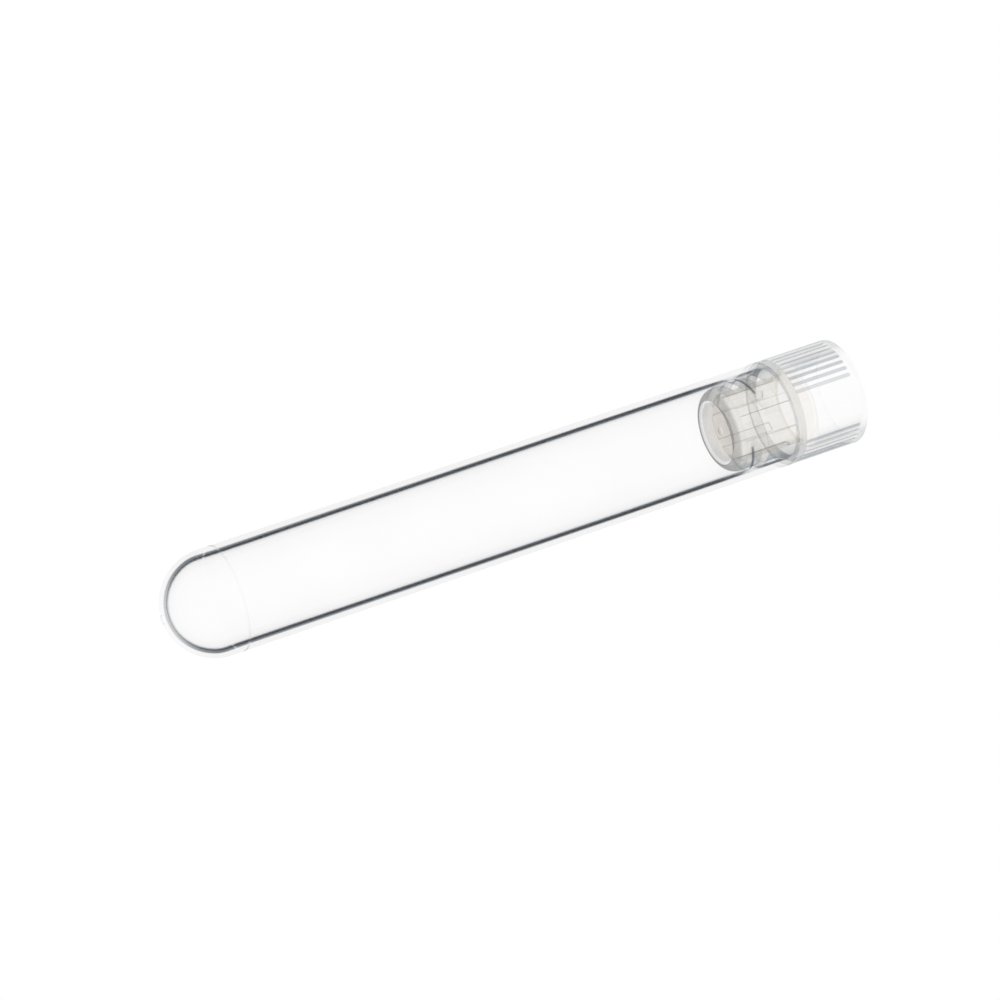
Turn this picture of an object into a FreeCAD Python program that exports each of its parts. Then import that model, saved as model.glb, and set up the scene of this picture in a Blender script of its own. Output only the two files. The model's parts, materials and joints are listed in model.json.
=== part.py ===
"""Internal-thread cryovial: a clear round-bottom tube, its screw cap and the sealing washer.

Millimetres. The closed vial stands on the open rim of its cap: the origin is the centre
of that rim, on the surface it stands on, and +Z runs along the vial to its round end.
-Y is the front, and angles are measured about +Z from the front.
"""

import FreeCAD
import Part
import math
import os

from FreeCAD import Vector

# ---- driving dimensions ----

# tube: its neck, drafted wall and round end
neck_radius = 6.25
neck_wall = 0.7
end_wall = 0.82
tube_length = 77.6
straight_neck = 22.0
draft = 0.13
lip_step = 0.07
lip_height = 0.7
lip_fade = 0.7
lip_round = 0.2
nub_radius = 0.55
nub_height = 0.25
mould_line_gap = 1.3
mould_line_width = 0.3
mould_line_height = 0.04

# thread: one inward ridge in the neck of the tube, one outward ridge on the plug
pitch = 3.0
tube_ridge_start = 2.8
tube_ridge_height = 0.3
tube_ridge_base = 1.7
tube_ridge_crest = 0.8
tube_ridge_turns = 0.95
cap_ridge_base = 1.0
cap_ridge_crest = 0.45
cap_ridge_start_gap = 0.05
cap_ridge_end_gap = 0.1

# head of the cap: the ribbed cup that fingers turn
head_step = 0.05
head_height = 8.3
head_wall = 1.1
head_edge_round = 0.45
flange_thickness = 2.3
recess_edge_round = 0.2

# grip grooves of the head, in groups with smooth panels between them
groove_groups = 3
grooves_per_group = 8
groove_pitch_deg = 8.57
groove_radius = 0.3
groove_start = 1.0
first_group_deg = 44.0

# plug of the cap: the hollow stem that goes into the tube
plug_length = 8.7
plug_wall = 0.9
plug_floor = 1.0
plug_round = 1.6
plug_round_deg = 70.0
collar_length = 1.8
dish_slope_width = 0.93
dish_depth = 0.8
gate_radius = 0.45
gate_height = 0.2

# ribs inside the plug, which a capping tool holds
rib_count = 6
rib_width = 1.1
rib_height = 0.5
first_rib_deg = 20.2

# sealing washer between the head and the mouth of the tube
washer_thickness = 1.0

# clearances between pieces, how deep a ridge or rib is rooted in its wall, and how far
# a cutting shape runs past what it cuts
crest_clearance = 0.1
plug_clearance = 0.2
collar_clearance = 0.25
washer_clearance = 0.1
rooted = 0.2
past = 1.0

# ---- places that follow from them ----

mouth = head_height + washer_thickness
plug_end = head_height + plug_length
collar_end = head_height + collar_length
recess_floor = head_height - flange_thickness
plug_wall_end = plug_end - plug_round * math.sin(math.radians(plug_round_deg))
dish_floor = plug_end - dish_depth
well_floor = dish_floor - plug_floor

bore_radius = neck_radius - neck_wall
tube_ridge_radius = bore_radius - tube_ridge_height
end_radius = neck_radius - draft
end_bore_radius = end_radius - end_wall
tube_top = mouth + tube_length
end_centre = tube_top - end_radius

head_radius = neck_radius + head_step
recess_radius = head_radius - head_wall
collar_radius = bore_radius - collar_clearance
plug_radius = tube_ridge_radius - plug_clearance
well_radius = plug_radius - plug_wall
cap_ridge_radius = bore_radius - crest_clearance

# the ridge of the cap runs midway between the turns of the ridge in the tube
tube_ridge_z = mouth + tube_ridge_start
cap_ridge_z = collar_end + cap_ridge_start_gap + cap_ridge_base / 2
cap_ridge_end_z = plug_wall_end - cap_ridge_end_gap - cap_ridge_base / 2
cap_ridge_turns = (cap_ridge_end_z - cap_ridge_z) / pitch
cap_ridge_deg = 360 * (cap_ridge_z - tube_ridge_z + pitch / 2) / pitch

FRONT_DEG = -90.0
Z_AXIS = Vector(0, 0, 1)
ORIGIN = Vector(0, 0, 0)


# ---- helpers ----

def arc(centre, radius, start_deg, end_deg):
    """Arc of an outline, about a centre given as (radius, z). Rounding puts an end
    that is meant to be on the axis exactly there."""
    def at(angle_deg):
        angle = math.radians(angle_deg)
        return Vector(round(centre[0] + radius * math.cos(angle), 9), 0,
                      round(centre[1] + radius * math.sin(angle), 9))
    return Part.Arc(at(start_deg), at((start_deg + end_deg) / 2), at(end_deg))


def turned(outline):
    """Solid of revolution about Z. The outline holds (radius, z) points and arcs, in
    order round the section, and straight lines join each to the next."""
    curves = [entry if isinstance(entry, Part.Arc) else Vector(entry[0], 0, entry[1])
              for entry in outline]
    edges = []
    for entry, following in zip(curves, curves[1:] + curves[:1]):
        if isinstance(entry, Part.Arc):
            edges.append(entry.toShape())
            entry = entry.EndPoint
        if isinstance(following, Part.Arc):
            following = following.StartPoint
        if entry.distanceToPoint(following) > 1e-6:
            edges.append(Part.LineSegment(entry, following).toShape())
    return Part.Face(Part.Wire(edges)).revolve(ORIGIN, Z_AXIS, 360)


def from_front(shape, angle_deg):
    """Copy of a shape that was made on +X, turned to an angle from the front."""
    copy = shape.copy()
    copy.rotate(ORIGIN, Z_AXIS, FRONT_DEG + angle_deg)
    return copy


def ridge(wall_radius, crest_radius, base, crest, turns, start_z, start_deg):
    """Right-hand thread ridge on a round wall, from its first crossing upwards. Its
    flanks run on into the wall, so that it is rooted there."""
    height = abs(crest_radius - wall_radius)
    buried_radius = wall_radius + math.copysign(rooted, wall_radius - crest_radius)
    buried = base + (base - crest) * rooted / height
    profile = [
        Vector(buried_radius, 0, -buried / 2),
        Vector(crest_radius, 0, -crest / 2),
        Vector(crest_radius, 0, crest / 2),
        Vector(buried_radius, 0, buried / 2),
    ]
    spine = Part.makeHelix(pitch, pitch * turns, wall_radius)
    sweep = Part.BRepOffsetAPI.MakePipeShell(Part.Wire(spine.Edges))
    sweep.setFrenetMode(True)
    sweep.add(Part.makePolygon(profile + profile[:1]))
    sweep.build()
    sweep.makeSolid()
    solid = from_front(sweep.shape(), start_deg)
    solid.translate(Vector(0, 0, start_z))
    return solid


# ---- pieces ----

def make_cap():
    """Ribbed head that is open at the rim, and a threaded hollow plug closed at its end."""
    rim_outer = head_radius - head_edge_round
    rim_inner = recess_radius + recess_edge_round
    plug_edge = arc((plug_radius - plug_round, plug_wall_end), plug_round, 0, plug_round_deg)
    dish_radius = plug_edge.EndPoint.x - dish_slope_width
    body = turned([
        arc((rim_outer, head_edge_round), head_edge_round, -90, 0),
        (head_radius, head_height),
        (collar_radius, head_height),
        (collar_radius, collar_end - (collar_radius - plug_radius)),
        (plug_radius, collar_end),
        plug_edge,
        (dish_radius, dish_floor),
        (gate_radius, dish_floor),
        (gate_radius, dish_floor + gate_height),
        (0, dish_floor + gate_height),
        (0, well_floor),
        (well_radius, well_floor),
        (well_radius, recess_floor),
        (recess_radius, recess_floor),
        arc((rim_inner, recess_edge_round), recess_edge_round, 180, 270),
    ])
    thread = ridge(plug_radius, cap_ridge_radius, cap_ridge_base, cap_ridge_crest,
                   cap_ridge_turns, cap_ridge_z, cap_ridge_deg)
    rib = Part.makeBox(rib_height + rooted, rib_width, well_floor - head_height + rooted,
                       Vector(well_radius - rib_height, -rib_width / 2, head_height))
    ribs = [from_front(rib, first_rib_deg + 360 * k / rib_count) for k in range(rib_count)]

    groove = Part.makeCylinder(groove_radius, head_height, Vector(head_radius, 0, groove_start))
    first_offset = -groove_pitch_deg * (grooves_per_group - 1) / 2
    grooves = []
    for group in range(groove_groups):
        middle = first_group_deg + 360 * group / groove_groups
        for k in range(grooves_per_group):
            grooves.append(from_front(groove, middle + first_offset + groove_pitch_deg * k))
    head_space = Part.makeCylinder(head_radius + groove_radius + past, head_height)
    grooves = [cutter.common(head_space) for cutter in grooves]
    return body.cut(grooves).fuse([thread] + ribs)


def make_washer():
    """Flat silicone ring that turns freely on the collar of the plug."""
    inner_radius = collar_radius + washer_clearance
    return turned([
        (inner_radius, head_height),
        (head_radius, head_height),
        (head_radius, mouth),
        (inner_radius, mouth),
    ])


def make_tube():
    """Clear tube: a lip, a straight neck with the thread ridge, a drafted wall, a round end."""
    lip_radius = neck_radius + lip_step
    lip_end = mouth + lip_height
    line_end = end_centre - mould_line_gap
    line_start = line_end - mould_line_width
    line_middle = (line_start + line_end) / 2
    slope = draft / (end_centre - mouth - straight_neck)

    def wall_at(z):
        return end_radius + slope * (end_centre - z)

    nub_top = tube_top + nub_height
    nub_start_deg = math.degrees(math.acos(nub_radius / end_radius))
    body = turned([
        arc((bore_radius + lip_round, mouth + lip_round), lip_round, 180, 270),
        arc((lip_radius - lip_round, mouth + lip_round), lip_round, -90, 0),
        (lip_radius, lip_end),
        (neck_radius, lip_end + lip_fade),
        (neck_radius, mouth + straight_neck),
        (wall_at(line_start), line_start),
        (wall_at(line_middle) + mould_line_height, line_middle),
        (wall_at(line_end), line_end),
        arc((0, end_centre), end_radius, 0, nub_start_deg),
        (nub_radius, nub_top),
        (0, nub_top),
        arc((0, end_centre), end_bore_radius, 90, 0),
        (bore_radius, mouth + straight_neck),
    ])
    thread = ridge(bore_radius, tube_ridge_radius, tube_ridge_base, tube_ridge_crest,
                   tube_ridge_turns, tube_ridge_z, 0)
    return body.fuse(thread)


os.makedirs("parts", exist_ok=True)
for name, solid in {
    "cap": make_cap(),
    "sealing_washer": make_washer(),
    "tube": make_tube(),
}.items():
    solid.exportStep(f"parts/{name}.step")
    box = solid.BoundBox
    print(f"{name}: {len(solid.Solids)} solid, valid {solid.isValid()}, "
          f"{solid.Volume:.1f} mm3, z {box.ZMin:.2f} to {box.ZMax:.2f}, "
          f"{box.XLength:.2f} x {box.YLength:.2f}")
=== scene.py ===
# %% [markdown]
# # An internal-thread cryovial
#
# A cryovial keeps a few millilitres of frozen sample. This one has three pieces: a clear tube
# with a round end, a screw cap whose hollow plug goes into the tube, and a silicone washer
# that the head of the cap squeezes on the mouth. The closed vial stands on its cap here, with
# the round end up, so the floor is at height zero and +Z runs from the cap to the round end.
#
# The fixed frame says where everything is and how large. It is loaded first, and its box is
# kept, so that the finished model is the same size.

# %% Load the frame
import json
import math

import bmesh
import bpy
from mathutils import Matrix, Vector


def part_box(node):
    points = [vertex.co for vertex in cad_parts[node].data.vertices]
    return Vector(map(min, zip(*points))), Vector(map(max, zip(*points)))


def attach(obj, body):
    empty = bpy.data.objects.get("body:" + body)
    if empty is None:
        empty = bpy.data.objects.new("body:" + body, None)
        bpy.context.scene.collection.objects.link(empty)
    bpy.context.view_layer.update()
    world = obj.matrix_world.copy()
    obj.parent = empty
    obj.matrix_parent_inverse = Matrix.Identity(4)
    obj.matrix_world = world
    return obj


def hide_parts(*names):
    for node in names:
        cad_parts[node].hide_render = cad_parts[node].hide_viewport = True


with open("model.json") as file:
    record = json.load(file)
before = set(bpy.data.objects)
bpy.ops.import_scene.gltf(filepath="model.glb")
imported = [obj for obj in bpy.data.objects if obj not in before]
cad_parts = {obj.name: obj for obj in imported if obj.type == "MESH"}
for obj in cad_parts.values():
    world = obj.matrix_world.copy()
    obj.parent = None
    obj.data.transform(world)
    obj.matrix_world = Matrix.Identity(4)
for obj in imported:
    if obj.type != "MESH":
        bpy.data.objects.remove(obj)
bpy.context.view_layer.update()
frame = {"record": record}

MM = 0.001
FULL_TURN = 2 * math.pi
FRONT_DEG = -90.0

# %% [markdown]
# ## Sizes
#
# Whatever has to fit comes from the frame: the mouth of the tube, the end of the plug, the
# outer radii and the pitch of the thread. The pitch isn't written down anywhere as a length,
# but the lift of the screw joint for each radian of turn gives it. Only the walls, roundings
# and small features that the frame doesn't state are given here. Angles are measured
# from the front, which is -Y, and rise as the tube is unscrewed.

# %% Sizes that come from the frame
record = frame["record"]
mounts = {mount["name"]: mount["dims"] for mount in record["mounts"]}
coupling = record["behaviour"]["couplings"][0]

pitch = coupling["ratio"] * FULL_TURN
neck_radius = mounts["rack_barrel"]["r_mm"] * MM
recess_radius = mounts["insert_recess"]["r_mm"] * MM
head_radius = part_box("sealing_washer")[1].x
head_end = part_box("sealing_washer")[0].z
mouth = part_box("tube")[0].z
plug_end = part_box("cap")[1].z
tube_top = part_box("tube")[1].z
print(f"pitch {pitch / MM:.3f} mm, mouth at {mouth / MM:.2f} mm, top at {tube_top / MM:.2f} mm")

# %% Sizes of the tube
neck_wall = 0.7 * MM
end_wall = 0.82 * MM
lip_radius = neck_radius + 0.07 * MM
lip_end = mouth + 0.7 * MM
lip_fade_end = lip_end + 0.7 * MM
straight_end = mouth + 22.0 * MM
nub_radius = 0.55 * MM
nub_height = 0.25 * MM
end_radius = neck_radius - 0.13 * MM
end_centre = tube_top - nub_height - end_radius
bore_radius = neck_radius - neck_wall
end_bore_radius = end_radius - end_wall
mould_line = end_centre - 1.45 * MM
mould_line_width = 0.3 * MM
mould_line_height = 0.04 * MM
print(f"bore {2 * bore_radius / MM:.2f} mm wide, round end centred at {end_centre / MM:.2f} mm")

# %% Sizes of the tube's thread ridge
tube_ridge_z = mouth + 2.8 * MM
tube_ridge_height = 0.3 * MM
tube_ridge_base = 1.7 * MM
tube_ridge_crest = 0.8 * MM
tube_ridge_turns = 0.95

# %% Sizes of the cap
plug_radius = 5.05 * MM
plug_round = 1.6 * MM
plug_round_deg = 70.0
plug_wall_end = plug_end - plug_round * math.sin(math.radians(plug_round_deg))
collar_radius = 5.3 * MM
collar_end = head_end + 1.8 * MM
recess_floor = 6.0 * MM
well_radius = 4.15 * MM
dish_radius = 3.067 * MM
dish_floor = plug_end - 0.8 * MM
well_floor = dish_floor - 1.0 * MM
gate_radius = 0.45 * MM
gate_height = 0.2 * MM
plug_wall = plug_radius - well_radius
print(f"plug {(plug_end - head_end) / MM:.2f} mm long, wall {plug_wall / MM:.2f} mm")

# %% Sizes of the cap's thread ridge
cap_ridge_base = 1.0 * MM
cap_ridge_crest = 0.45 * MM
cap_ridge_radius = bore_radius - 0.1 * MM
cap_ridge_z = collar_end + 0.05 * MM + cap_ridge_base / 2
cap_ridge_turns = (plug_wall_end - 0.1 * MM - cap_ridge_base / 2 - cap_ridge_z) / pitch
print(f"the ridge of the cap makes {cap_ridge_turns:.2f} turns")

# %% Sizes of the grip, the tool ribs and the washer
groove_radius = 0.3 * MM
groove_start = 1.0 * MM
groove_groups = 3
grooves_a_group = 8
groove_pitch_deg = 8.57
first_group_deg = 44.0
rib_count = 6
rib_width = 1.1 * MM
rib_height = 0.5 * MM
first_rib_deg = 20.2
washer_hole = 5.4 * MM

# %% [markdown]
# ## Outlines with soft corners
#
# A moulded edge is never knife sharp, and the small round on each corner is what catches the
# light. So a section is drawn as a list of corners, each with its own rounding, and a helper
# swaps the corner for a short arc that meets both sides. A whole arc, such as the round end,
# has its own helper. A Bevel modifier could round the corners too, but all to one size.

# %% Corners and arcs of a section
def arc(centre, radius, start_deg, end_deg, steps):
    """Points of an arc in the section plane, each with no rounding of its own."""
    points = []
    for k in range(steps + 1):
        angle = math.radians(start_deg + (end_deg - start_deg) * k / steps)
        points.append((centre[0] + radius * math.cos(angle), centre[1] + radius * math.sin(angle), 0))
    return points


def softened(corners, steps=5):
    """Outline of (radius, height) points from (radius, height, rounding) corners."""
    outline = []
    for k, (radius, height, rounding) in enumerate(corners):
        here = Vector((radius, height))
        if rounding == 0 or k in (0, len(corners) - 1):
            outline.append(here)
            continue
        back = (Vector(corners[k - 1][:2]) - here).normalized()
        ahead = (Vector(corners[k + 1][:2]) - here).normalized()
        half = back.angle(ahead) / 2
        centre = here + (back + ahead).normalized() * rounding / math.sin(half)
        start = here + back * rounding / math.tan(half) - centre
        end = here + ahead * rounding / math.tan(half) - centre
        start_angle = math.atan2(start.y, start.x)
        sweep = math.remainder(math.atan2(end.y, end.x) - start_angle, FULL_TURN)
        for step in range(steps + 1):
            angle = start_angle + sweep * step / steps
            outline.append(centre + rounding * Vector((math.cos(angle), math.sin(angle))))
    return outline

# %% [markdown]
# ## Turning a piece
#
# Every main piece is round, so it is turned like work on a lathe. A plane is merged to a single
# point, the point is extruded along the section, and Spin carries the line round the axis. That
# gives clean rings of faces with one pole where the line starts or ends on the axis. Spin leaves
# a doubled seam and many points at each pole, so these are merged before the normals are made
# to face outwards.

# %% Select as by hand
def select_none():
    if bpy.context.mode != "OBJECT":
        bpy.ops.object.mode_set(mode="OBJECT")
    bpy.ops.object.select_all(action="DESELECT")


def make_active(piece):
    select_none()
    piece.select_set(True)
    bpy.context.view_layer.objects.active = piece

# %% A lathe
AROUND = 192
SAME_PLACE = 0.5e-6


def line_of(name, outline):
    """A new piece, left in edit mode, whose mesh is the outline as a line in the XZ plane."""
    select_none()
    bpy.ops.mesh.primitive_plane_add(size=MM)
    piece = bpy.context.object
    piece.name = piece.data.name = name
    bpy.ops.object.mode_set(mode="EDIT")
    bpy.ops.mesh.merge(type="CENTER")
    bpy.ops.transform.translate(value=(outline[0][0], 0, outline[0][1]))
    for here, there in zip(outline, outline[1:]):
        step = (there[0] - here[0], 0, there[1] - here[1])
        bpy.ops.mesh.extrude_region_move(TRANSFORM_OT_translate={"value": step})
    bpy.ops.mesh.select_all(action="SELECT")
    return piece


def close_up(piece):
    """Merges doubled points, turns the faces outwards and leaves edit mode."""
    bpy.ops.mesh.select_all(action="SELECT")
    bpy.ops.mesh.remove_doubles(threshold=SAME_PLACE)
    bpy.ops.mesh.normals_make_consistent(inside=False)
    bpy.ops.object.mode_set(mode="OBJECT")


def turned(name, outline, around=AROUND):
    piece = line_of(name, outline)
    bpy.ops.mesh.spin(steps=around, angle=FULL_TURN, center=(0, 0, 0), axis=(0, 0, 1))
    close_up(piece)
    return piece

# %% Measure a piece
def report(piece):
    """Prints a piece's size, and how many of its edges don't have two faces."""
    mesh = bmesh.new()
    mesh.from_mesh(piece.data)
    open_edges = sum(not edge.is_manifold for edge in mesh.edges)
    volume = mesh.calc_volume() / MM**3
    mesh.free()
    print(f"{piece.name}: {len(piece.data.polygons)} faces, {open_edges} open edges, {volume:.1f} mm3")

# %% [markdown]
# ## Joining and cutting
#
# Thread ridges, ribs and grooves are separate shapes that are added to the turned body or cut
# from it with the exact Boolean modifier. See-through plastic shows every hidden wall, so
# the shapes have to become one skin: pushing one through the other isn't enough.

# %% Booleans
def combine(piece, tool, operation):
    make_active(piece)
    boolean = piece.modifiers.new("boolean", "BOOLEAN")
    boolean.operation = operation
    boolean.solver = "EXACT"
    boolean.object = tool
    bpy.ops.object.modifier_apply(modifier=boolean.name)
    bpy.data.objects.remove(tool)

# %% Copies round the axis
def turn_to(piece, angle_deg):
    """Turns a piece that points along +X to an angle from the front. Its object stays unturned."""
    make_active(piece)
    piece.rotation_euler.z = math.radians(FRONT_DEG + angle_deg)
    bpy.ops.object.transform_apply(location=False, rotation=True, scale=False)


def copies_round(piece, angles_deg):
    """Copies of a piece at angles from the front, joined into one, which takes the piece's place."""
    copies = []
    for angle_deg in angles_deg:
        make_active(piece)
        bpy.ops.object.duplicate()
        copy = bpy.context.object
        turn_to(copy, angle_deg)
        copies.append(copy)
    bpy.data.objects.remove(piece)
    select_none()
    for copy in copies:
        copy.select_set(True)
    bpy.context.view_layer.objects.active = copies[0]
    bpy.ops.object.join()
    return copies[0]

# %% [markdown]
# ## Thread ridges
#
# Both threads are a single low ridge. It is one section carried up a helix by the Screw
# modifier. A real mould lets the ridge run out over the last part of its turn, and this is what
# lets the cap start easily. So the rings of points at each end are scaled towards the wall, a
# little more for each ring.

# %% Let a ridge run out
RUN_OUT_RINGS = 5


def run_out(piece, points_a_ring, full_scale):
    """Scales the first and last rings of a helix towards the wall."""
    last = len(piece.data.vertices) // points_a_ring - 1
    bpy.ops.object.mode_set(mode="EDIT")
    for k in range(RUN_OUT_RINGS):
        share = (1 + math.cos(math.pi * k / RUN_OUT_RINGS)) / 2
        scale = 1 + (full_scale - 1) * share
        for ring in (k, last - k):
            mesh = bmesh.from_edit_mesh(piece.data)
            for point in mesh.verts:
                point.select_set(point.index // points_a_ring == ring)
            bmesh.update_edit_mesh(piece.data)
            bpy.ops.transform.resize(value=(scale, scale, 1), center_override=(0, 0, 0))
    bpy.ops.object.mode_set(mode="OBJECT")

# %% A ridge on a helix
RINGS_A_TURN = 96
ROOTED = 0.1 * MM
CREST_ROUND = 0.35
CREST_STEPS = 3


def ridge(name, wall_radius, crest_radius, base, crest, turns, start_z, start_deg):
    """Right-hand ridge with its root in a wall. The section is drawn on +X and then wound up."""
    height = abs(crest_radius - wall_radius)
    side = math.copysign(1, wall_radius - crest_radius)
    root_radius = wall_radius + side * ROOTED
    root = base + (base - crest) * ROOTED / height
    rounding = CREST_ROUND * crest
    section = softened([
        (root_radius, start_z - root / 2, 0),
        (crest_radius, start_z - crest / 2, rounding),
        (crest_radius, start_z + crest / 2, rounding),
        (root_radius, start_z + root / 2, 0),
        (root_radius, start_z - root / 2, 0),
    ], steps=CREST_STEPS)
    piece = line_of(name, section)
    bpy.ops.mesh.remove_doubles(threshold=SAME_PLACE)
    bpy.ops.object.mode_set(mode="OBJECT")
    points_a_ring = len(piece.data.vertices)
    screw = piece.modifiers.new("helix", "SCREW")
    screw.angle = turns * FULL_TURN
    screw.screw_offset = turns * pitch
    screw.steps = screw.render_steps = round(turns * RINGS_A_TURN)
    bpy.ops.object.modifier_apply(modifier=screw.name)
    run_out(piece, points_a_ring, (wall_radius + side * ROOTED / 2) / crest_radius)
    bpy.ops.object.mode_set(mode="EDIT")
    bpy.ops.mesh.select_all(action="SELECT")
    bpy.ops.mesh.fill_holes(sides=0)
    close_up(piece)
    turn_to(piece, start_deg)
    report(piece)
    return piece

# %% [markdown]
# ## The tube
#
# The tube is moulded in one shot, so it is one closed skin with an outside and a bore. Its wall
# is thin at the mouth and gets thicker towards the round end, because the core of the mould
# has to slide out. A faint raised ring just before the round end shows where two halves of the
# mould meet, and the small nub on the pole is where the plastic went in. The section starts on
# the axis inside the round end and comes back to the axis on the nub, so that both ends of the
# line are poles and the skin is closed.

# %% Turn the tube
END_STEPS = 24
mouth_round = 0.2 * MM
lip_step_round = 0.1 * MM
lip_fade_round = 0.3 * MM
nub_round = 0.12 * MM
nub_edge_deg = math.degrees(math.acos(nub_radius / end_radius))
tube = turned("clear_tube", softened(
    arc((0, end_centre), end_bore_radius, 90, 0, END_STEPS)
    + [
        (bore_radius, straight_end, 0),
        (bore_radius, mouth, mouth_round),
        (lip_radius, mouth, mouth_round),
        (lip_radius, lip_end, lip_step_round),
        (neck_radius, lip_fade_end, lip_fade_round),
        (neck_radius, straight_end, 0),
        (end_radius, mould_line - mould_line_width / 2, 0),
        (end_radius + mould_line_height, mould_line, 0),
        (end_radius, mould_line + mould_line_width / 2, 0),
    ]
    + arc((0, end_centre), end_radius, 0, nub_edge_deg, END_STEPS)
    + [(nub_radius, tube_top, nub_round), (0, tube_top, 0)]))
report(tube)

# %% Add the thread ridge of the tube
tube_ridge = ridge("tube_ridge", bore_radius, bore_radius - tube_ridge_height, tube_ridge_base,
                   tube_ridge_crest, tube_ridge_turns, tube_ridge_z, 0)
combine(tube, tube_ridge, "UNION")
report(tube)

# %% [markdown]
# ## The cap
#
# The cap is one moulding too: a head like a short cup, open at the rim that the vial stands on,
# and a hollow plug that is closed at its end. The end of the plug is well rounded, with a
# shallow dish and a small gate mark in its middle. The outline goes from the gate mark over
# the plug and the head, round the rim, and back inside to the floor of the well.

# %% Roundings of the cap
PLUG_ROUND_STEPS = 14
gate_slope = 0.1 * MM
gate_round = 0.1 * MM
gate_foot_round = 0.08 * MM
dish_round = 0.15 * MM
collar_round = 0.1 * MM
collar_foot_round = 0.05 * MM
head_end_round = 0.12 * MM
rim_outer_round = 0.45 * MM
rim_inner_round = 0.2 * MM
recess_corner_round = 0.3 * MM
well_edge_round = 0.15 * MM
well_floor_round = 0.4 * MM

# %% Turn the cap
cap = turned("screw_cap", softened(
    [
        (0, dish_floor + gate_height, 0),
        (gate_radius, dish_floor + gate_height, gate_round),
        (gate_radius + gate_slope, dish_floor, gate_foot_round),
        (dish_radius, dish_floor, dish_round),
    ]
    + arc((plug_radius - plug_round, plug_wall_end), plug_round, plug_round_deg, 0, PLUG_ROUND_STEPS)
    + [
        (plug_radius, collar_end, collar_round),
        (collar_radius, collar_end - (collar_radius - plug_radius), collar_round),
        (collar_radius, head_end, collar_foot_round),
        (head_radius, head_end, head_end_round),
        (head_radius, 0, rim_outer_round),
        (recess_radius, 0, rim_inner_round),
        (recess_radius, recess_floor, recess_corner_round),
        (well_radius, recess_floor, well_edge_round),
        (well_radius, well_floor, well_floor_round),
        (0, well_floor, 0),
    ]))
report(cap)

# %% Add the thread ridge of the cap
# It runs midway between the turns of the ridge in the tube.
cap_ridge_deg = 360 * (cap_ridge_z - tube_ridge_z + pitch / 2) / pitch
cap_ridge = ridge("cap_ridge", plug_radius, cap_ridge_radius, cap_ridge_base, cap_ridge_crest,
                  cap_ridge_turns, cap_ridge_z, cap_ridge_deg)
combine(cap, cap_ridge, "UNION")

# %% [markdown]
# ## Grip grooves
#
# Fingers turn the cap by three groups of eight fine grooves, with smooth panels between the
# groups. A groove is the track of a round cutter with a rounded tip, so it is a thin turned
# rod. It is modelled once, copied round the head, and all the copies are cut in one go.

# %% Model one groove cutter
GROOVE_SIDES = 20
groove_tip_round = 0.25 * MM
groove_past = head_end + 1.0 * MM
groove = turned("groove", softened([
    (0, groove_start, 0),
    (groove_radius, groove_start, groove_tip_round),
    (groove_radius, groove_past, 0),
    (0, groove_past, 0),
]), around=GROOVE_SIDES)
make_active(groove)
groove.location.x = head_radius
bpy.ops.object.transform_apply(location=True, rotation=False, scale=False)
report(groove)

# %% Cut the grooves
half_group_deg = groove_pitch_deg * (grooves_a_group - 1) / 2
groove_angles = []
for group in range(groove_groups):
    first_deg = first_group_deg + 360 * group / groove_groups - half_group_deg
    for k in range(grooves_a_group):
        groove_angles.append(first_deg + groove_pitch_deg * k)
combine(cap, copies_round(groove, groove_angles), "DIFFERENCE")
report(cap)

# %% [markdown]
# ## Tool ribs
#
# A capping tool reaches into the plug from the open side of the head and holds six ribs there.
# A rib is a cube, stretched to a bar with bevelled edges. Its back is sunk in the wall and its
# top in the floor of the well, so the union leaves no gap behind it.

# %% Add the ribs
RIB_EDGE_STEPS = 3
rib_edge_round = 0.15 * MM
rib_sunk = 0.3 * MM
rib_top_sunk = 0.4 * MM
rib_length = well_floor - head_end + rib_top_sunk
select_none()
bpy.ops.mesh.primitive_cube_add(size=1.0, location=(
    well_radius + (rib_sunk - rib_height) / 2, 0, head_end + rib_length / 2))
rib = bpy.context.object
rib.name = "rib"
rib.scale = (rib_height + rib_sunk, rib_width, rib_length)
bpy.ops.object.transform_apply(location=True, rotation=False, scale=True)
bpy.ops.object.mode_set(mode="EDIT")
bpy.ops.mesh.bevel(offset=rib_edge_round, segments=RIB_EDGE_STEPS, affect="EDGES")
bpy.ops.object.mode_set(mode="OBJECT")
rib_angles = [first_rib_deg + 360 * k / rib_count for k in range(rib_count)]
combine(cap, copies_round(rib, rib_angles), "UNION")
report(cap)

# %% [markdown]
# ## The washer
#
# The washer is a flat silicone ring that turns freely on the collar of the plug. Its section is
# a closed loop, so the turned skin has no poles at all.

# %% Turn the washer
washer_hole_round = 0.12 * MM
washer_edge_round = 0.2 * MM
washer_middle = (head_end + mouth) / 2
washer = turned("silicone_washer", softened([
    (washer_hole, washer_middle, 0),
    (washer_hole, head_end, washer_hole_round),
    (head_radius, head_end, washer_edge_round),
    (head_radius, mouth, washer_edge_round),
    (washer_hole, mouth, washer_hole_round),
    (washer_hole, washer_middle, 0),
]))
report(washer)

# %% Smooth faces with clean edges
SMOOTH_DEG = 32.0
for piece in (tube, cap, washer):
    make_active(piece)
    bpy.ops.object.shade_smooth_by_angle(angle=math.radians(SMOOTH_DEG))

# %% [markdown]
# ## How clear plastic is shown
#
# Clear plastic hardly shows where it is looked through square on. It shows where it is looked at
# edge on, because light that gets into a curved wall there is bent away and the wall turns dark.
# A glass shader that bends light would do this too, but the walls here are thin, close together
# and have air between them, so it would need many bounces and long renders to come out clean.
# So each skin is a Transparent shader instead, and its tint comes from a ramp over the Facing
# value of Layer Weight: 0 is square on and 1 is edge on. Tints of skins one behind the other
# multiply, as they do in the real plastic. A share of Glossy is mixed in by Fresnel for the
# shine, and a little white Diffuse and Translucent where the plastic is slightly milky.

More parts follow.
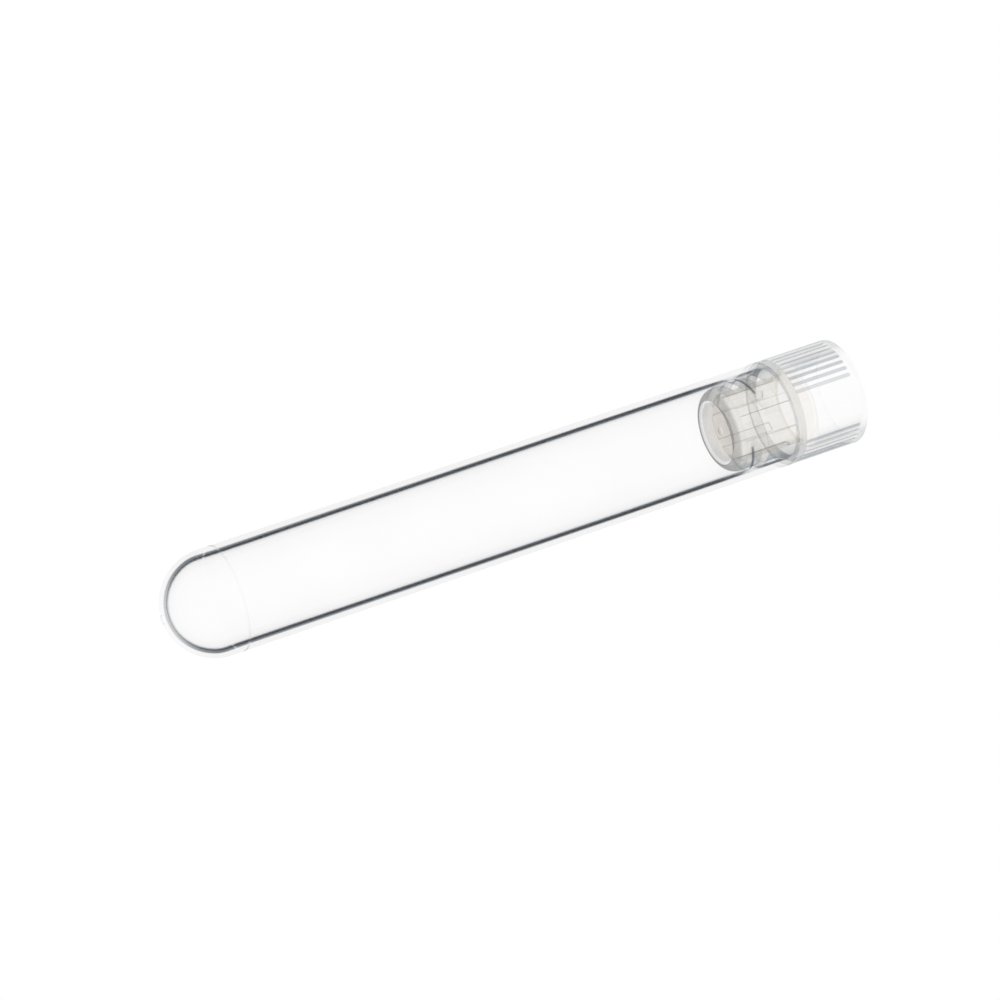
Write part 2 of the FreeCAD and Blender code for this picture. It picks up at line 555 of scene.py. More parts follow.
# %% Nodes for every finish
WHITE = (1.0, 1.0, 1.0, 1.0)


def new_material(name):
    material = bpy.data.materials.new(name)
    material.use_nodes = True
    material.node_tree.nodes.clear()
    return material


def node(material, kind, inputs, **settings):
    """Adds a node. inputs gives each input, by name or number, a value or another node's output."""
    made = material.node_tree.nodes.new("ShaderNode" + kind)
    for name, value in settings.items():
        setattr(made, name, value)
    for key, value in inputs.items():
        if isinstance(value, bpy.types.NodeSocket):
            material.node_tree.links.new(value, made.inputs[key])
        else:
            made.inputs[key].default_value = value
    return made


def math_node(material, operation, *values):
    return node(material, "Math", dict(enumerate(values)), operation=operation).outputs[0]


def part_of(material, mask, share):
    return math_node(material, "MULTIPLY", mask, share)


def mixed(material, share, colour, other):
    """The colour, with a share of another one."""
    return node(material, "Mix", {0: share, 6: colour, 7: other}, data_type="RGBA").outputs[2]


def eased(material, value, start, end):
    """0 up to start, 1 from end on, and a smooth step between. It runs down if end is below start."""
    low, high = (0.0, 1.0) if start < end else (1.0, 0.0)
    inputs = {"Value": value, "From Min": min(start, end), "From Max": max(start, end),
              "To Min": low, "To Max": high}
    return node(material, "MapRange", inputs, interpolation_type="SMOOTHSTEP").outputs["Result"]

# %% A tint by the angle of view
EVEN_BLEND = 0.5


def facing(material, direction=None):
    """0 where the surface, or a direction in its place, is looked at square on, and 1 edge on."""
    inputs = {"Blend": EVEN_BLEND}
    if direction is not None:
        inputs["Normal"] = direction
    return node(material, "LayerWeight", inputs).outputs["Facing"]


def by_angle(material, stops, angle=None):
    """Colour from a ramp over the angle of view. stops holds (place, (red, green, blue))."""
    if angle is None:
        angle = facing(material)
    made = node(material, "ValToRGB", {0: angle})
    ramp = made.color_ramp
    ramp.interpolation = "EASE"
    ramp.elements.remove(ramp.elements[1])
    ramp.elements[0].position = stops[0][0]
    ramp.elements[0].color = (*stops[0][1], 1.0)
    for place, colour in stops[1:]:
        ramp.elements.new(place).color = (*colour, 1.0)
    return made.outputs["Color"]


def grey(value, blue=1.0):
    """A grey, a little bluish where blue is above 1 and warm where it is below."""
    return (value, value * (1 + blue) / 2, value * blue)

# %% Places on a piece, and clouds
CLOUD_LOW = 0.3
CLOUD_HIGH = 0.7


def place_on(material):
    return node(material, "TexCoord", {}).outputs["Object"]


def height_of(material):
    return node(material, "SeparateXYZ", {0: place_on(material)}).outputs["Z"]


def clouded(material, colour, scale, amount):
    """Colour with soft, faint clouds, as a moulding has where its plastic flowed together."""
    noise = node(material, "TexNoise", {"Vector": place_on(material), "Scale": scale, "Detail": 3.0})
    light = node(material, "MapRange", {"Value": noise.outputs[0], "From Min": CLOUD_LOW,
                                        "From Max": CLOUD_HIGH, "To Min": 1 - amount, "To Max": 1.0})
    return node(material, "VectorMath", {0: colour, "Scale": light.outputs["Result"]},
                operation="SCALE").outputs[0]

# %% The near and the far side of a skin
def behind(material):
    """1 where a skin is seen from inside the plastic, and 0 where it is seen from outside."""
    return node(material, "NewGeometry", {}).outputs["Backfacing"]


def two_sided(material, colour, outside, inside):
    """Keeps one share of the tint where a skin is seen from outside, and another from inside."""
    share = math_node(material, "MULTIPLY_ADD", behind(material), inside - outside, outside)
    return mixed(material, share, WHITE, colour)

# %% [markdown]
# The shine belongs on the outside of a skin only, so it is taken away where the skin is seen
# from behind. A real clear vial throws almost no shadow. A Transparent shader with a dark tint
# would throw a strong one, so Light Path swaps it for a nearly white one wherever the ray
# only carries light to the floor or to another skin.

# %% The whole shader
SHADOW_TINT = (0.996, 0.996, 0.996, 1.0)
PLASTIC_IOR = 1.5
WAVE_SCALE = 260.0
WAVE_HEIGHT = 0.05 * MM
EVEN_MIX = 0.5


def see_through(material, colour, gloss, roughness, milk=0.0, milk_colour=WHITE, waves=0.0):
    """Finishes a material: tinted clear plastic with a share of milk and a share of shine."""
    shader = node(material, "BsdfTransparent", {"Color": colour})
    if milk:
        front = node(material, "BsdfDiffuse", {"Color": milk_colour})
        through = node(material, "BsdfTranslucent", {"Color": milk_colour})
        cloud = node(material, "MixShader", {0: EVEN_MIX, 1: front.outputs[0], 2: through.outputs[0]})
        shader = node(material, "MixShader", {0: milk, 1: shader.outputs[0], 2: cloud.outputs[0]})
    noise = node(material, "TexNoise", {"Vector": place_on(material), "Scale": WAVE_SCALE, "Detail": 2.0})
    bump = node(material, "Bump", {"Strength": waves, "Distance": WAVE_HEIGHT, "Height": noise.outputs[0]})
    shine = node(material, "BsdfGlossy", {"Roughness": roughness, "Normal": bump.outputs[0]})
    inside_gloss = part_of(material, gloss, behind(material))
    facing_out = math_node(material, "SUBTRACT", gloss, inside_gloss)
    fresnel = node(material, "Fresnel", {"IOR": PLASTIC_IOR}).outputs[0]
    share = part_of(material, fresnel, facing_out)
    shader = node(material, "MixShader", {0: share, 1: shader.outputs[0], 2: shine.outputs[0]})
    rays = node(material, "LightPath", {}).outputs
    unseen = math_node(material, "MAXIMUM", rays["Is Shadow Ray"], rays["Is Diffuse Ray"])
    bare = node(material, "BsdfTransparent", {"Color": SHADOW_TINT})
    shader = node(material, "MixShader", {0: unseen, 1: shader.outputs[0], 2: bare.outputs[0]})
    node(material, "OutputMaterial", {"Surface": shader.outputs[0]})
    print(f"{material.name}: {len(material.node_tree.nodes)} nodes")
    return material


def finish(piece, materials, which):
    """Gives each face of a piece one of the materials, picked by the face's middle."""
    for material in materials:
        piece.data.materials.append(material)
    for face in piece.data.polygons:
        face.material_index = which(face.center)
    used = sorted({face.material_index for face in piece.data.polygons})
    print(piece.name, "wears", [materials[k].name for k in used])

# %% [markdown]
# ## The wall that a place belongs to
#
# Grooves, ridges and rounded edges turn the surface this way and that, and a tint by their own
# angle would break into stripes. What counts for the dark sides of the vial is the round wall
# as a whole. So Layer Weight is asked about another direction: straight out from the axis.
#
# Looked at from above, every wall is seen at a slant, and this alone would make the whole tube
# dark. So the axis is asked about too, and its answer takes the slant out again. The usual
# slant is that of a view from a little above, and there the two ways agree.

# %% Distance from the axis and nearness to the outline
USUAL_SIDE_ON = 0.934
LEAST_SIDE_ON = 0.1
FLAT = (1.0, 1.0, 0.0)
ALONG = (0.0, 0.0, 1.0)


def in_world(material, direction):
    return node(material, "VectorTransform", {0: direction}, vector_type="NORMAL",
                convert_from="OBJECT", convert_to="WORLD").outputs[0]


def towards_view(material, direction):
    """1 where a direction points at the eye or away from it, and 0 where it lies across."""
    return math_node(material, "SUBTRACT", 1.0, facing(material, in_world(material, direction)))


def from_axis(material):
    """How far the point is from the axis, and how near its round wall there is to the outline."""
    place = place_on(material)
    across = node(material, "VectorMath", {0: place, 1: FLAT}, operation="MULTIPLY").outputs[0]
    length = node(material, "VectorMath", {0: across}, operation="LENGTH").outputs["Value"]
    straight_out = node(material, "VectorMath", {0: across}, operation="NORMALIZE").outputs[0]
    out = towards_view(material, straight_out)
    along = towards_view(material, ALONG)
    slant = math_node(material, "SUBTRACT", 1.0, math_node(material, "MULTIPLY", along, along))
    side_on = math_node(material, "MAXIMUM", math_node(material, "SQRT", slant), LEAST_SIDE_ON)
    out = math_node(material, "DIVIDE", out, side_on)
    return length, math_node(material, "MULTIPLY_ADD", out, -USUAL_SIDE_ON, 1.0)

# %% [markdown]
# ## Finish of the tube
#
# The wall of a clear tube shows as one dark line along each side, where light is bent most
# between the outside and the bore. Two ramps make it together: the outside has a narrow dark
# notch at the angle where sight just grazes the bore, and the bore itself gets darker towards
# its own edge. Outside the notch the wall is light again. On the round end the wall's angle
# has no meaning, so there the surface's own angle takes over. Near the pole the tint fades.
#
# Where the thread ridge fills the bore, light goes straight through and the line has a gap. A
# mask takes the tint away there. It is worked out from the angle and the height of the
# point, as the ridge itself is, so it follows the helix and needs no texture.

# %% Near the thread ridge
def near_tube_ridge(material, width, fade, above=0.0):
    """1 within a width of a helix above the middle of the tube's ridge, 0 past a fade."""
    place = node(material, "SeparateXYZ", {0: place_on(material)}).outputs
    front = math.radians(FRONT_DEG)
    rise = pitch / FULL_TURN
    angle = math_node(material, "ARCTAN2", place["Y"], place["X"])
    angle = math_node(material, "WRAP", angle, front + FULL_TURN, front)
    middle = math_node(material, "MULTIPLY_ADD", angle, rise, tube_ridge_z - front * rise + above)
    away = math_node(material, "ABSOLUTE", math_node(material, "SUBTRACT", place["Z"], middle))
    return eased(material, away, width + fade, width)

# %% The angle, the neck and the pole of the tube
CLEAR_WALL = (0.96, 0.96, 0.96, 1.0)
NECK_SHARE = 0.85
POLE_SHARE = 0.66
end_blend = 1.5 * MM
pole_starts = end_centre + 0.3 * end_radius
pole_full = end_centre + 0.9 * end_radius
neck_starts = 17.5 * MM
neck_full = 15.0 * MM


def tube_angle(material):
    """How near the outline a point is: that of the round wall, and on the round end its own."""
    at_end = eased(material, height_of(material), end_centre - end_blend, end_centre + end_blend)
    own = part_of(material, facing(material), at_end)
    wall = from_axis(material)[1]
    wall = math_node(material, "SUBTRACT", wall, part_of(material, wall, at_end))
    return math_node(material, "ADD", own, wall)


def in_neck(material):
    return eased(material, height_of(material), neck_starts, neck_full)


def clear_at_pole(material, colour):
    at_pole = eased(material, height_of(material), pole_starts, pole_full)
    return mixed(material, part_of(material, at_pole, POLE_SHARE), colour, WHITE)

# %% Outside of the tube
tube_outside = new_material("tube_outside")
colour = by_angle(tube_outside, [
    (0.0, grey(0.998)), (0.4, grey(0.985)), (0.445, grey(0.94)), (0.5, grey(0.42, 1.1)),
    (0.56, grey(0.42, 1.1)), (0.63, grey(0.95)), (0.9, grey(0.96)), (1.0, grey(0.9)),
], tube_angle(tube_outside))
neck_share = part_of(tube_outside, in_neck(tube_outside), NECK_SHARE)
colour = mixed(tube_outside, neck_share, colour, CLEAR_WALL)
colour = clear_at_pole(tube_outside, colour)
colour = clouded(tube_outside, colour, scale=90.0, amount=0.012)
see_through(tube_outside, colour, gloss=0.3, roughness=0.05, waves=0.2)

# %% Bore of the tube
tube_bore = new_material("tube_bore")
colour = by_angle(tube_bore, [
    (0.0, grey(0.998)), (0.35, grey(0.99)), (0.55, grey(0.965)), (0.66, grey(0.93)),
    (0.75, grey(0.6, 1.05)), (1.0, grey(0.25, 1.15)),
], tube_angle(tube_bore))
neck_colour = by_angle(tube_bore, [
    (0.0, grey(0.995)), (0.5, grey(0.97)), (0.66, grey(0.93)), (0.75, grey(0.5, 1.1)),
    (1.0, grey(0.3, 1.15)),
], from_axis(tube_bore)[1])
gap = near_tube_ridge(tube_bore, width=1.2 * MM, fade=0.4 * MM)
neck_colour = mixed(tube_bore, gap, neck_colour, CLEAR_WALL)
colour = mixed(tube_bore, in_neck(tube_bore), colour, neck_colour)
see_through(tube_bore, clear_at_pole(tube_bore, colour), gloss=0.05, roughness=0.05)

# %% [markdown]
# The lip is a thick rounded edge, a little darker than the wall and faintly cloudy. The crest
# of the thread ridge is clear, with one dark stroke along it where its flank bends light away.
# The stroke follows the same helix as the gap, a little higher, and only towards the sides. The
# raised mould line shows as a faint ring.

# %% Lip, thread ridge and mould line
STROKE_TINT = (0.3, 0.33, 0.36, 1.0)
STROKE_STARTS = 0.18
STROKE_FULL = 0.26

tube_lip = new_material("tube_lip")
colour = by_angle(tube_lip, [
    (0.0, grey(0.975)), (0.5, grey(0.91)), (0.8, grey(0.82, 1.02)), (1.0, grey(0.75, 1.04))])
colour = clouded(tube_lip, colour, scale=400.0, amount=0.03)
see_through(tube_lip, colour, gloss=0.15, roughness=0.08)

tube_thread = new_material("tube_thread")
colour = by_angle(tube_thread, [
    (0.0, grey(0.97)), (0.5, grey(0.85)), (0.7, grey(0.9)), (1.0, grey(0.95))])
stroke = near_tube_ridge(tube_thread, width=0.1 * MM, fade=0.14 * MM, above=0.25 * MM)
at_side = eased(tube_thread, from_axis(tube_thread)[1], STROKE_STARTS, STROKE_FULL)
colour = mixed(tube_thread, part_of(tube_thread, stroke, at_side), colour, STROKE_TINT)
colour = two_sided(tube_thread, colour, outside=0.4, inside=1.0)
see_through(tube_thread, colour, gloss=0.15, roughness=0.05)

tube_line = new_material("tube_line")
colour = by_angle(tube_line, [(0.0, grey(0.972)), (0.5, grey(0.89)), (1.0, grey(0.56))])
colour = two_sided(tube_line, colour, outside=1.0, inside=0.15)
see_through(tube_line, colour, gloss=0.1, roughness=0.05)

# %% Put the finishes on the tube
OUTSIDE, BORE, LIP, THREAD, LINE = range(5)
lip_margin = 0.1 * MM
ridge_margin = 0.03 * MM
end_point = Vector((0, 0, end_centre))
wall_middle = (bore_radius + neck_radius) / 2
end_wall_middle = (end_bore_radius + end_radius) / 2


def tube_part(centre):
    radius = math.hypot(centre.x, centre.y)
    if centre.z > end_centre:
        return BORE if (centre - end_point).length < end_wall_middle else OUTSIDE
    if centre.z < lip_end + lip_margin:
        return LIP
    if centre.z < straight_end and radius < bore_radius - ridge_margin:
        return THREAD
    if abs(centre.z - mould_line) < mould_line_width / 2 and radius > wall_middle:
        return LINE
    return BORE if radius < wall_middle else OUTSIDE


finish(tube, [tube_outside, tube_bore, tube_lip, tube_thread, tube_line], tube_part)

# %% [markdown]
# ## Finish of the head
#
# The cap is natural plastic, slightly milky, so it looks warm grey where many walls lie one
# behind the other, and cool grey at its edges. The head is clear in front and an even grey
# towards its sides, which is a ramp over the angle of its wall. A second ramp, over the
# surface's own angle, draws the rounded edges, and the two multiply.

# %% Head of the cap
HEAD_MILK = (0.95, 0.95, 0.945, 1.0)
head_stops = [
    (0.0, (0.999, 0.998, 0.998)), (0.25, (0.988, 0.987, 0.986)), (0.36, (0.92, 0.92, 0.918)),
    (0.48, (0.76, 0.762, 0.765)), (0.7, (0.76, 0.765, 0.77)), (0.9, (0.79, 0.8, 0.81)),
    (1.0, (0.75, 0.77, 0.78))]
edge_stops = [(0.0, grey(1.0)), (0.8, grey(0.99)), (1.0, grey(0.6))]

cap_head = new_material("cap_head")
wall = by_angle(cap_head, head_stops, from_axis(cap_head)[1])
edge = by_angle(cap_head, edge_stops)
colour = node(cap_head, "VectorMath", {0: wall, 1: edge}, operation="MULTIPLY").outputs[0]
colour = clouded(cap_head, colour, scale=350.0, amount=0.008)
colour = two_sided(cap_head, colour, outside=1.0, inside=0.2)
see_through(cap_head, colour, gloss=0.3, roughness=0.12, milk=0.004, milk_colour=HEAD_MILK, waves=0.3)

# %% [markdown]
# Inside the head, the ledge round the well is thick and beige, the recess wall only adds to
# what the head's outside already shows, and the rim is almost clear. Each is a finish of its
# own on the same skin, because one ramp can't be thick and thin at the same angle.

# %% Ledge, recess and rim of the head
RECESS_MILK = (0.95, 0.945, 0.93, 1.0)

cap_flats = new_material("cap_flats")
colour = by_angle(cap_flats, [
    (0.0, (0.99, 0.98, 0.97)), (0.6, (0.92, 0.895, 0.85)), (0.8, (0.88, 0.87, 0.85)),
    (1.0, (0.75, 0.76, 0.77))])
colour = clouded(cap_flats, colour, scale=350.0, amount=0.03)
colour = two_sided(cap_flats, colour, outside=1.0, inside=0.6)
see_through(cap_flats, colour, gloss=0.2, roughness=0.15, milk=0.01, milk_colour=RECESS_MILK, waves=0.3)

cap_recess = new_material("cap_recess")
colour = by_angle(cap_recess, head_stops, from_axis(cap_recess)[1])
colour = clouded(cap_recess, colour, scale=350.0, amount=0.008)
colour = two_sided(cap_recess, colour, outside=0.1, inside=0.6)
see_through(cap_recess, colour, gloss=0.2, roughness=0.15, milk=0.004, milk_colour=RECESS_MILK, waves=0.3)

cap_rim = new_material("cap_rim")
colour = by_angle(cap_rim, [(0.0, grey(0.99)), (0.6, grey(0.98)), (1.0, grey(0.85, 1.02))])
colour = clouded(cap_rim, colour, scale=350.0, amount=0.01)
see_through(cap_rim, colour, gloss=0.2, roughness=0.12, waves=0.3)

# %% [markdown]
# ## Finish of the plug
#
# The plug is seen through the tube: warm and nearly clear in the middle, cool and dark at its
# sides. The well inside it is clearer, and where it passes through the flange of the head it
# takes on the beige of the thick plastic, above all on the near side. The thread ridge and the
# ribs keep their own angle, so that their edges show.

# %% Side and thread ridge of the plug
PLUG_MILK = (0.85, 0.84, 0.82, 1.0)
thin_look = {"milk": 0.008, "milk_colour": PLUG_MILK, "waves": 0.3}

cap_plug = new_material("cap_plug")
colour = by_angle(cap_plug, [
    (0.0, (0.992, 0.987, 0.98)), (0.25, (0.98, 0.973, 0.963)), (0.38, (0.9, 0.895, 0.885)),
    (0.5, (0.74, 0.745, 0.745)), (0.7, (0.64, 0.66, 0.67)), (0.9, (0.57, 0.6, 0.62)),
    (1.0, (0.54, 0.57, 0.59)),
], from_axis(cap_plug)[1])
colour = clouded(cap_plug, colour, scale=500.0, amount=0.03)
colour = two_sided(cap_plug, colour, outside=1.0, inside=0.6)
see_through(cap_plug, colour, gloss=0.15, roughness=0.08, **thin_look)

cap_thread = new_material("cap_thread")
colour = by_angle(cap_thread, [
    (0.0, (0.992, 0.987, 0.98)), (0.3, (0.97, 0.965, 0.955)), (0.6, (0.86, 0.86, 0.855)),
    (1.0, (0.72, 0.73, 0.74))])
colour = two_sided(cap_thread, colour, outside=1.0, inside=0.4)
see_through(cap_thread, colour, gloss=0.15, roughness=0.08, **thin_look)

# %% Well and ribs
FLANGE_TINT = (0.94, 0.915, 0.875, 1.0)
FLANGE_FAR_SHARE = 0.35
flange_fade = 0.15 * MM

cap_well = new_material("cap_well")
colour = by_angle(cap_well, [
    (0.0, (0.99, 0.984, 0.975)), (0.4, (0.965, 0.957, 0.945)), (0.7, (0.88, 0.875, 0.865)),
    (1.0, (0.72, 0.72, 0.72)),
], from_axis(cap_well)[1])
in_flange = eased(cap_well, height_of(cap_well), head_end, head_end - flange_fade)
near_side = part_of(cap_well, behind(cap_well), 1 - FLANGE_FAR_SHARE)
flange_share = math_node(cap_well, "ADD", near_side, FLANGE_FAR_SHARE)
colour = mixed(cap_well, part_of(cap_well, in_flange, flange_share), colour, FLANGE_TINT)
colour = clouded(cap_well, colour, scale=600.0, amount=0.035)
colour = two_sided(cap_well, colour, outside=1.0, inside=0.8)
see_through(cap_well, colour, gloss=0.15, roughness=0.12, **thin_look)

cap_rib = new_material("cap_rib")
colour = by_angle(cap_rib, [
    (0.0, (0.985, 0.98, 0.97)), (0.4, (0.94, 0.93, 0.915)), (0.7, (0.74, 0.735, 0.725)),
    (1.0, (0.52, 0.52, 0.52))])
colour = clouded(cap_rib, colour, scale=600.0, amount=0.035)
colour = two_sided(cap_rib, colour, outside=1.0, inside=0.7)
see_through(cap_rib, colour, gloss=0.15, roughness=0.12, **thin_look)

# %% [markdown]
# ## Finish of the plug's end
#
# The end of the plug is the thickest part of the cap and the darkest. Its rounding gets a band
# of painted shade by height, its slope has a ring of painted highlight next to a thin ring of
# painted shade by distance from the axis, and the dish is a warm grey disc. Real plastic gets
# this shade and these rings from light bent in the thick floor, and since light isn't bent
# here, masks over the shape put them in their places.

# %% Rounding of the plug's end
# The dark band on the rounding is painted shade, which stands in for light bent in the thick plastic.
ROUNDING_SHADE_TINT = (0.5, 0.5, 0.49, 1.0)
ROUNDING_SHADE_SHARE = 0.7
rounding_shade_starts = plug_end - 0.95 * MM
rounding_shade_full = plug_end - 0.5 * MM
thick_look = {"milk": 0.02, "milk_colour": PLUG_MILK, "waves": 0.3}

cap_plug_end = new_material("cap_plug_end")
colour = by_angle(cap_plug_end, [
    (0.0, (0.98, 0.975, 0.965)), (0.25, (0.96, 0.955, 0.945)), (0.4, (0.8, 0.795, 0.785)),
    (0.52, (0.64, 0.64, 0.63)), (0.7, (0.58, 0.6, 0.6)), (0.85, (0.5, 0.53, 0.55)),
    (1.0, (0.35, 0.38, 0.41))])
rounding_shade = eased(cap_plug_end, height_of(cap_plug_end), rounding_shade_starts, rounding_shade_full)
colour = mixed(cap_plug_end, part_of(cap_plug_end, rounding_shade, ROUNDING_SHADE_SHARE), colour, ROUNDING_SHADE_TINT)
colour = clouded(cap_plug_end, colour, scale=500.0, amount=0.06)
colour = two_sided(cap_plug_end, colour, outside=1.0, inside=0.6)
see_through(cap_plug_end, colour, gloss=0.3, roughness=0.08, **thick_look)

# %% Slope with its two rings
# The bright ring is a painted highlight and the thin dark ring is painted shade, both standing in for light
# bent in the rounded end.
PAINTED_HIGHLIGHT_RING = (0.96, 0.955, 0.96, 1.0)
PAINTED_SHADE_RING = (0.4, 0.41, 0.42, 1.0)
slope_radius = plug_radius - plug_round * (1 - math.cos(math.radians(plug_round_deg)))
highlight_starts = dish_radius + 0.45 * MM
highlight_full = dish_radius + 0.6 * MM
ring_shade_starts = slope_radius - 0.16 * MM
ring_shade_full = slope_radius - 0.05 * MM

cap_slope = new_material("cap_slope")
colour = by_angle(cap_slope, [
    (0.0, grey(0.76)), (0.3, grey(0.7)), (0.7, (0.72, 0.72, 0.71)), (1.0, (0.6, 0.6, 0.59))])
radius_here = from_axis(cap_slope)[0]
colour = mixed(cap_slope, eased(cap_slope, radius_here, highlight_starts, highlight_full), colour, PAINTED_HIGHLIGHT_RING)
colour = mixed(cap_slope, eased(cap_slope, radius_here, ring_shade_starts, ring_shade_full), colour, PAINTED_SHADE_RING)
colour = clouded(cap_slope, colour, scale=700.0, amount=0.05)
colour = two_sided(cap_slope, colour, outside=1.0, inside=0.6)
see_through(cap_slope, colour, gloss=0.3, roughness=0.1, **thick_look)

# %% Dish and floor of the well
DISH_MILK = (0.85, 0.82, 0.79, 1.0)

cap_dish = new_material("cap_dish")
colour = by_angle(cap_dish, [(0.0, (0.9, 0.88, 0.86)), (0.6, (0.78, 0.75, 0.72)), (1.0, (0.7, 0.67, 0.64))])
colour = clouded(cap_dish, colour, scale=700.0, amount=0.05)
colour = two_sided(cap_dish, colour, outside=1.0, inside=0.7)
see_through(cap_dish, colour, gloss=0.2, roughness=0.1, milk=0.03, milk_colour=DISH_MILK, waves=0.3)

cap_well_floor = new_material("cap_well_floor")
colour = by_angle(cap_well_floor, [
    (0.0, (0.98, 0.975, 0.97)), (0.6, (0.96, 0.955, 0.95)), (1.0, grey(0.85))])
colour = clouded(cap_well_floor, colour, scale=500.0, amount=0.03)
see_through(cap_well_floor, colour, gloss=0.1, roughness=0.15, **thick_look)

# %% [markdown]
# ## Finish of the grooves
#
# A groove shows as one thin bluish line, because only its bottom bends light away from us, and
# its sides stay bright. So its tint depends on how deep the point lies below the head's own
# radius. Towards the edge of the head the grooves run together into an even grey, so the line
# fades there, and straight in front it is fainter too. The angle that counts for this is
# that of the head's wall, not of the groove.

# %% Grooves of the cap
GROOVE_TINT = (0.5, 0.54, 0.59, 1.0)
LINES_GONE = 0.46
LINES_CLEAR = 0.36
SLANT_STARTS = 0.05
SLANT_FULL = 0.22
FRONT_SHARE = 0.55
groove_side = head_radius - 0.4 * groove_radius
groove_bottom = head_radius - 0.8 * groove_radius

cap_groove = new_material("cap_groove")
radius_here, wall_angle = from_axis(cap_groove)
deep = eased(cap_groove, radius_here, groove_side, groove_bottom)
shown = eased(cap_groove, wall_angle, LINES_GONE, LINES_CLEAR)
slanted = eased(cap_groove, wall_angle, SLANT_STARTS, SLANT_FULL)
strength = math_node(cap_groove, "MULTIPLY_ADD", slanted, 1 - FRONT_SHARE, FRONT_SHARE)
dark = part_of(cap_groove, part_of(cap_groove, deep, shown), strength)
colour = mixed(cap_groove, dark, by_angle(cap_groove, head_stops, wall_angle), GROOVE_TINT)
colour = two_sided(cap_groove, colour, outside=0.8, inside=0.05)
see_through(cap_groove, colour, gloss=0.1, roughness=0.12)

# %% Put the finishes on the cap
HEAD, FLATS, RECESS, RIM, PLUG, CAP_THREAD, WELL, RIB, PLUG_END, SLOPE, DISH, WELL_FLOOR, GROOVE = range(13)
TINY = 0.01 * MM
skin_margin = 0.05 * MM
rim_height = 0.25 * MM
plug_outer = collar_radius + 0.3 * MM
plug_middle = (plug_radius + well_radius) / 2
rim_middle = (recess_radius + head_radius) / 2
groove_inner = head_radius - groove_radius - TINY
groove_outer = head_radius - 0.015 * MM


def plug_part(centre, radius):
    if radius < plug_middle and centre.z < well_floor:
        return WELL if radius > well_radius - skin_margin else RIB
    if centre.z > collar_end and radius > plug_radius + TINY:
        return CAP_THREAD
    return PLUG_END if centre.z > well_floor else PLUG


def cap_part(centre):
    radius = math.hypot(centre.x, centre.y)
    if centre.z > dish_floor - TINY and radius < slope_radius:
        return DISH if radius < dish_radius else SLOPE
    if abs(centre.z - well_floor) < TINY:
        return WELL_FLOOR
    if centre.z > recess_floor + skin_margin and radius < plug_outer:
        return plug_part(centre, radius)
    if centre.z < rim_height and radius < rim_middle:
        return RIM
    if abs(centre.z - recess_floor) < TINY and radius < recess_radius:
        return FLATS
    if radius < recess_radius + TINY:
        return RECESS
    if groove_inner < radius < groove_outer and groove_start < centre.z < head_end - TINY:
        return GROOVE
    return HEAD


finish(cap, [cap_head, cap_flats, cap_recess, cap_rim, cap_plug, cap_thread, cap_well, cap_rib,
             cap_plug_end, cap_slope, cap_dish, cap_well_floor, cap_groove], cap_part)

# %% [markdown]
# ## Finish of the washer
#
# Silicone is clear but a little hazy, with fine mottling, and its surface is softer than the
# plastic's. So the milk and the roughness are higher, and the clouds are smaller.

# %% Silicone
SILICONE_MILK = (0.9, 0.9, 0.89, 1.0)

silicone = new_material("washer_silicone")
colour = by_angle(silicone, [
    (0.0, (0.93, 0.93, 0.925)), (0.6, (0.86, 0.86, 0.855)), (1.0, (0.74, 0.75, 0.76))])
colour = clouded(silicone, colour, scale=1500.0, amount=0.04)
colour = two_sided(silicone, colour, outside=1.0, inside=0.5)
see_through(silicone, colour, gloss=0.3, roughness=0.3, milk=0.08, milk_colour=SILICONE_MILK, waves=0.4)
finish(washer, [silicone], lambda centre: 0)

# %% [markdown]
# ## Fixing the pieces to the frame
#
# Each piece stands for one solid of the frame, takes its place, and moves with its body.

# %% Bodies
for piece, body, solid, slot in (
        (tube, "tube", "tube", "clear_plastic"),
        (cap, "cap", "cap", "natural_plastic"),
        (washer, "washer", "sealing_washer", "silicone")):
    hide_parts(solid)
    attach(piece, body)
    print(piece.name, "rides on the body", body)

# %% [markdown]
# ## Floor, light and camera
#
# Clear plastic shows mostly what is behind and around it, so the setting is pale: a matt white
# floor, an even white sky, and one very soft sun that gives the shine a direction.

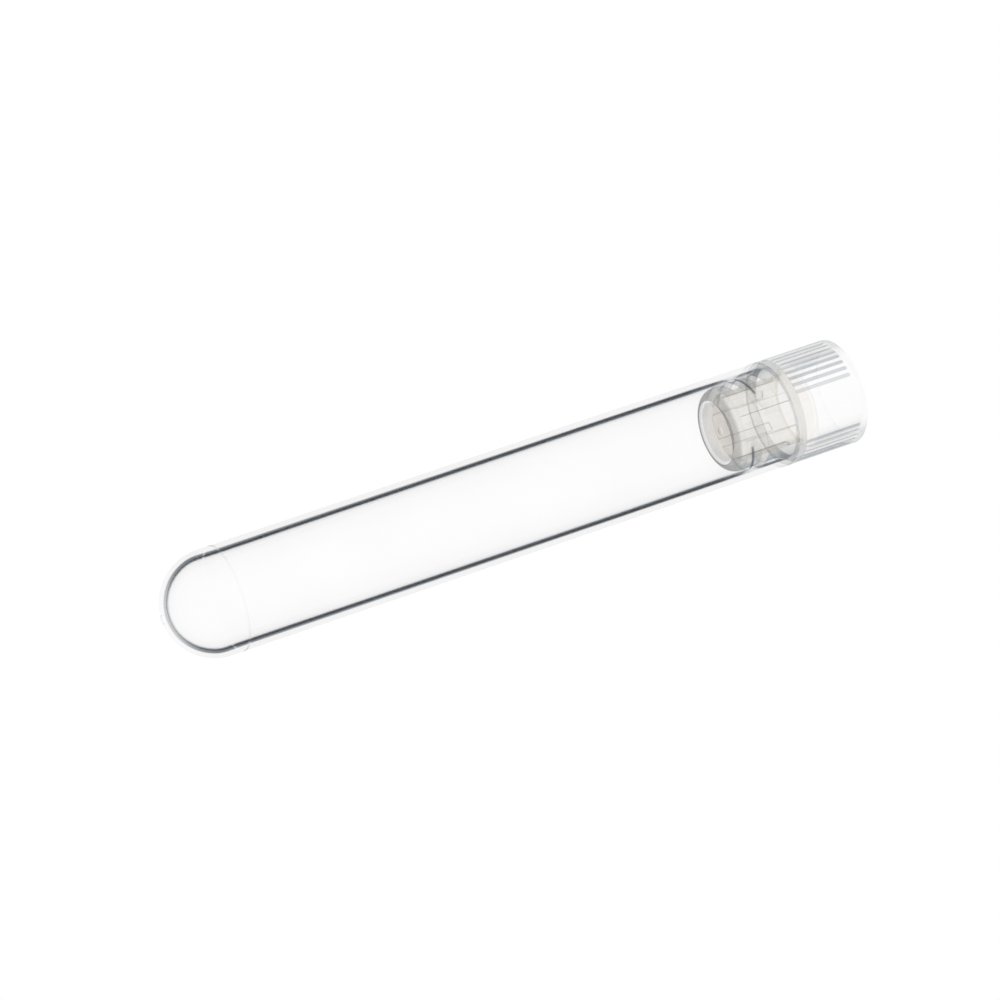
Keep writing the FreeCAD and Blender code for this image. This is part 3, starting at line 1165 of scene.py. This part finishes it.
# %% Floor
FLOOR_SIZE = 4.0
FLOOR_WHITE = (0.92, 0.92, 0.92, 1.0)
select_none()
bpy.ops.mesh.primitive_plane_add(size=FLOOR_SIZE)
floor = bpy.context.object
floor.name = "floor"
floor_finish = new_material("matt_floor")
matt = node(floor_finish, "BsdfDiffuse", {"Color": FLOOR_WHITE})
node(floor_finish, "OutputMaterial", {"Surface": matt.outputs[0]})
floor.data.materials.append(floor_finish)

# %% Light
SKY_STRENGTH = 1.0
SUN_STRENGTH = 0.42
SUN_SOFTNESS_DEG = 60
SUN_TIP_DEG = 20
SUN_SIDE_DEG = -40
CLEAR_LAYERS = 32
scene = bpy.context.scene
world = bpy.data.worlds.new("white_room")
scene.world = world
world.use_nodes = True
sky = world.node_tree.nodes["Background"]
sky.inputs["Color"].default_value = WHITE
sky.inputs["Strength"].default_value = SKY_STRENGTH
bpy.ops.object.light_add(type="SUN", rotation=(math.radians(SUN_TIP_DEG), math.radians(SUN_SIDE_DEG), 0))
sun = bpy.context.object.data
sun.energy = SUN_STRENGTH
sun.angle = math.radians(SUN_SOFTNESS_DEG)
scene.view_settings.view_transform = "Standard"
scene.cycles.transparent_max_bounces = CLEAR_LAYERS
print("sky", SKY_STRENGTH, "sun", SUN_STRENGTH)

# %% [markdown]
# The camera looks down on the standing vial a little and is rolled, so that the vial lies across
# the view. A long lens from far away keeps its sides nearly parallel, as a catalogue shows it.

# %% Camera
CAMERA_TILT_DEG = 21.0
CAMERA_ROLL_DEG = 18.67
CAMERA_DISTANCE = 453.7 * MM
CAMERA_LENS = 144.0
AIM_SIDE = 0.626 * MM
AIM_HEIGHT = 44.97 * MM
aim = Vector((AIM_SIDE, 0, AIM_HEIGHT))
tilt = math.radians(CAMERA_TILT_DEG)
roll = math.radians(CAMERA_ROLL_DEG)
view = Vector((0, math.cos(tilt), -math.sin(tilt)))
up = Vector((math.cos(roll), -math.sin(roll) * math.sin(tilt), -math.sin(roll) * math.cos(tilt)))
right = view.cross(up)
select_none()
bpy.ops.object.camera_add()
camera = bpy.context.object
camera.data.lens = CAMERA_LENS
turn = Matrix((right, up, -view)).transposed().to_4x4()
camera.matrix_world = Matrix.Translation(aim - view * CAMERA_DISTANCE) @ turn
scene.camera = camera
print(f"camera {CAMERA_DISTANCE / MM:.0f} mm away, with a {CAMERA_LENS:.0f} mm lens")
